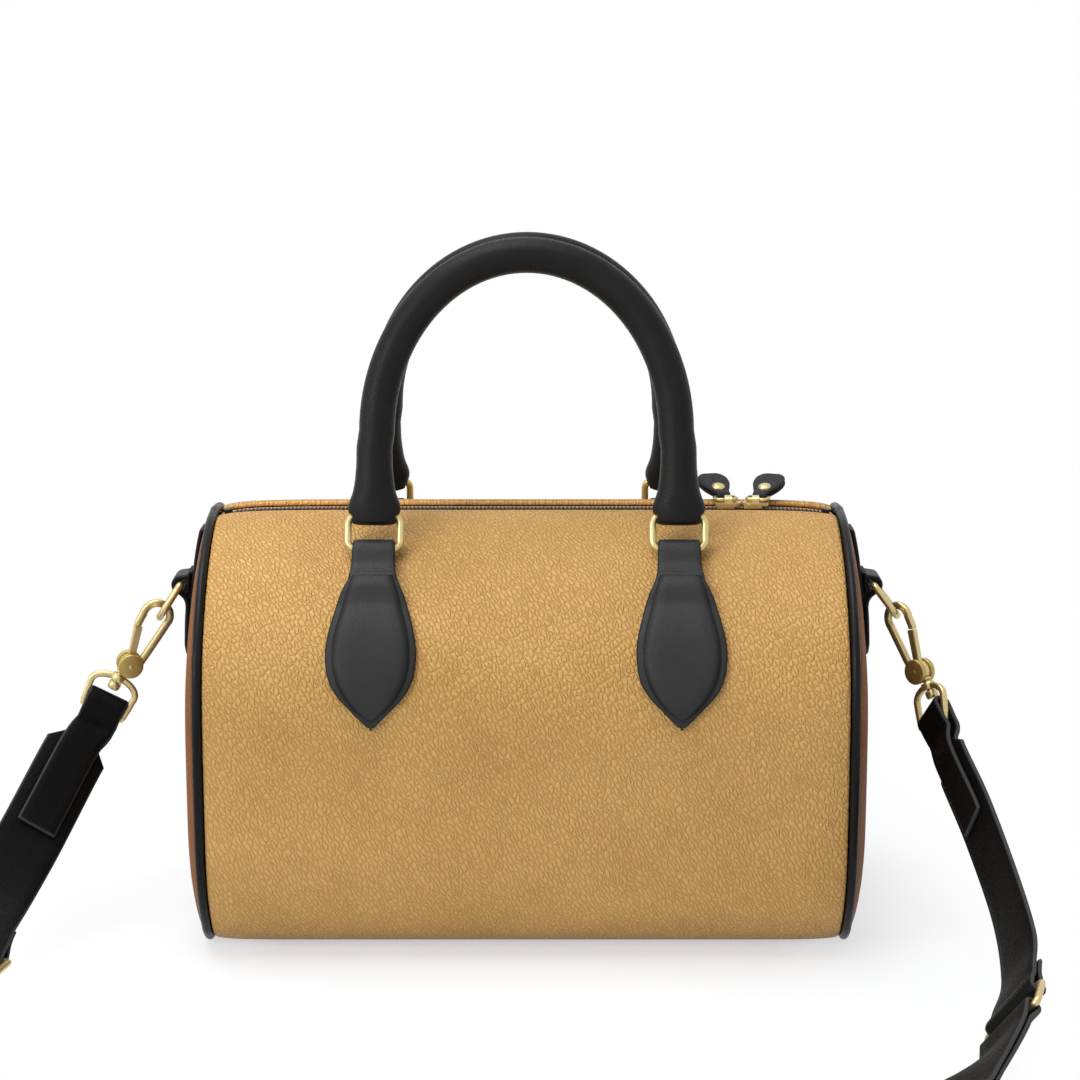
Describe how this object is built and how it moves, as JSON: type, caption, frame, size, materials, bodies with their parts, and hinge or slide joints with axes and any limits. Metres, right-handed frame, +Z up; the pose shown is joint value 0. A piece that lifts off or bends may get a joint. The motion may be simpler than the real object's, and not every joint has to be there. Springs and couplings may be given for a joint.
{
  "type": "mini duffel bag",
  "caption": "Barrel-shaped mini duffel bag with rolled handles on metal rings, a two-way zip, piped round ends and a clip-on shoulder strap lying on the floor.",
  "frame": {"origin": "middle of the flat base the bag stands on", "axes": "+X along the bag's length to the viewer's right, -Y towards the front, +Z up"},
  "size_m": [0.3533, 0.3365, 0.2255],
  "materials": {
    "tan_pebbled_leather": "matte pebbled grain",
    "brown_leather": "matte",
    "black_leather": "satin",
    "piping_leather": "satin",
    "pale_gold": "polished",
    "zip_tape": "woven",
    "zip_chain": "satin",
    "lining_cloth": "woven",
    "board": "pressed board",
    "handle_rope": "twisted cord"
  },
  "bodies": {
    "bag": {"main_panel": "tan_pebbled_leather", "lining": "lining_cloth", "base_board": "board", "end_panel_left": "brown_leather", "piping_left": "piping_leather", "end_tab_left": "black_leather", "end_tab_loop_left": "black_leather", "end_panel_right": "brown_leather", "piping_right": "piping_leather", "end_tab_right": "black_leather", "end_tab_loop_right": "black_leather", "zip_tape_front": "zip_tape", "zip_tape_back": "zip_tape", "zip_teeth_front": "zip_chain", "zip_teeth_back": "zip_chain", "zip_stop_left": "pale_gold", "zip_stop_right": "pale_gold", "handle_tab_front_left": "black_leather", "handle_pad_front_left": "black_leather", "handle_tab_front_right": "black_leather", "handle_pad_front_right": "black_leather", "handle_tab_back_left": "black_leather", "handle_pad_back_left": "black_leather", "handle_tab_back_right": "black_leather", "handle_pad_back_right": "black_leather", "short_strap_left": "black_leather", "short_strap_right": "black_leather", "strap_ring_left": "pale_gold", "strap_ring_right": "pale_gold", "long_strap": "black_leather", "strap_adjuster": "pale_gold", "strap_keeper": "black_leather"},
    "front_rings": {"handle_ring_front_left": "pale_gold", "handle_ring_front_right": "pale_gold"},
    "back_rings": {"handle_ring_back_left": "pale_gold", "handle_ring_back_right": "pale_gold"},
    "front_handle": {"handle_front": "black_leather", "handle_core_front": "handle_rope"},
    "back_handle": {"handle_back": "black_leather", "handle_core_back": "handle_rope"},
    "zip_slider_left": {"zip_slider_left": "pale_gold"},
    "zip_pull_ring_left": {"zip_pull_ring_left": "pale_gold"},
    "zip_pull_tab_left": {"zip_pull_tab_left": "black_leather", "zip_pull_rivet_left": "pale_gold"},
    "zip_slider_right": {"zip_slider_right": "pale_gold"},
    "zip_pull_ring_right": {"zip_pull_ring_right": "pale_gold"},
    "zip_pull_tab_right": {"zip_pull_tab_right": "black_leather", "zip_pull_rivet_right": "pale_gold"},
    "d_ring_left": {"d_ring_left": "pale_gold"},
    "swivel_left": {"swivel_eye_left": "pale_gold"},
    "hook_left": {"hook_left": "pale_gold", "hook_pin_left": "pale_gold"},
    "gate_left": {"hook_gate_left": "pale_gold"},
    "d_ring_right": {"d_ring_right": "pale_gold"},
    "swivel_right": {"swivel_eye_right": "pale_gold"},
    "hook_right": {"hook_right": "pale_gold", "hook_pin_right": "pale_gold"},
    "gate_right": {"hook_gate_right": "pale_gold"}
  },
  "joints": [
    {"name": "front_rings_swing", "type": "hinge", "parent": "bag", "child": "front_rings", "pos_m": [0, -0.03835, 0.13012], "axis": [1, 0, 0], "range_deg": [-1, 104]},
    {"name": "front_handle_swing", "type": "hinge", "parent": "front_rings", "child": "front_handle", "pos_m": [0, -0.03406, 0.14024], "axis": [1, 0, 0], "range_deg": [-6, 34]},
    {"name": "back_rings_swing", "type": "hinge", "parent": "bag", "child": "back_rings", "pos_m": [0, 0.03835, 0.13012], "axis": [-1, 0, 0], "range_deg": [-1, 104]},
    {"name": "back_handle_swing", "type": "hinge", "parent": "back_rings", "child": "back_handle", "pos_m": [0, 0.03406, 0.14024], "axis": [-1, 0, 0], "range_deg": [-6, 34]},
    {"name": "zip_left_slide", "type": "slide", "parent": "bag", "child": "zip_slider_left", "axis": [1, 0, 0], "range_m": [-0.159, 0]},
    {"name": "zip_pull_left_swing", "type": "hinge", "parent": "zip_slider_left", "child": "zip_pull_ring_left", "pos_m": [0.0666, 0, 0.13955], "axis": [0.9613, 0.2756, 0], "range_deg": [0, 130]},
    {"name": "zip_pull_tab_left_swing", "type": "hinge", "parent": "zip_pull_ring_left", "child": "zip_pull_tab_left", "pos_m": [0.06511, 0.00519, 0.13955], "axis": [0.9613, 0.2756, 0], "range_deg": [-3, 40]},
    {"name": "zip_right_slide", "type": "slide", "parent": "bag", "child": "zip_slider_right", "axis": [1, 0, 0], "range_m": [0, 0.0175]},
    {"name": "zip_pull_right_swing", "type": "hinge", "parent": "zip_slider_right", "child": "zip_pull_ring_right", "pos_m": [0.0756, 0, 0.13955], "axis": [0.9272, -0.3746, 0], "range_deg": [0, 130]},
    {"name": "zip_pull_tab_right_swing", "type": "hinge", "parent": "zip_pull_ring_right", "child": "zip_pull_tab_right", "pos_m": [0.07762, 0.00501, 0.13955], "axis": [0.9272, -0.3746, 0], "range_deg": [-3, 40]},
    {"name": "clip_left_swing", "type": "hinge", "parent": "bag", "child": "swivel_left", "pos_m": [-0.11486, 0, 0.11177], "axis": [0, 1, 0], "range_deg": [-3, 12], "deforming": ["short_strap_left"]},
    {"name": "d_ring_left_swing", "type": "hinge", "parent": "bag", "child": "d_ring_left", "pos_m": [-0.11486, 0, 0.11177], "axis": [0, 1, 0], "range_deg": [-3, 12]},
    {"name": "hook_left_swivel", "type": "hinge", "parent": "swivel_left", "child": "hook_left", "pos_m": [-0.13685, -0.00039, 0.07908], "axis": [0.4924, 0, 0.8704], "range_deg": [-46, 11]},
    {"name": "gate_left_hinge", "type": "hinge", "parent": "hook_left", "child": "gate_left", "pos_m": [-0.13301, 0, 0.08357], "axis": [-0.2834, 0.9455, 0.1603], "range_deg": [0, 16], "stiffness_Nm_per_rad": 0.002, "springref_deg": -8.59},
    {"name": "clip_right_swing", "type": "hinge", "parent": "bag", "child": "swivel_right", "pos_m": [0.11486, 0, 0.11177], "axis": [0, -1, 0], "range_deg": [-3, 12], "deforming": ["short_strap_right"]},
    {"name": "d_ring_right_swing", "type": "hinge", "parent": "bag", "child": "d_ring_right", "pos_m": [0.11486, 0, 0.11177], "axis": [0, -1, 0], "range_deg": [-3, 12]},
    {"name": "hook_right_swivel", "type": "hinge", "parent": "swivel_right", "child": "hook_right", "pos_m": [0.13258, -0.01473, 0.07957], "axis": [-0.3422, 0.4067, 0.847], "range_deg": [-4, 78]},
    {"name": "gate_right_hinge", "type": "hinge", "parent": "hook_right", "child": "gate_right", "pos_m": [0.12992, -0.01161, 0.08384], "axis": [-0.7537, -0.6571, 0.0111], "range_deg": [0, 16], "stiffness_Nm_per_rad": 0.002, "springref_deg": -8.59}
  ],
  "couplings": [
    {"joint": "d_ring_left_swing", "follows": "clip_left_swing", "ratio": 1},
    {"joint": "d_ring_right_swing", "follows": "clip_right_swing", "ratio": 1}
  ]
}
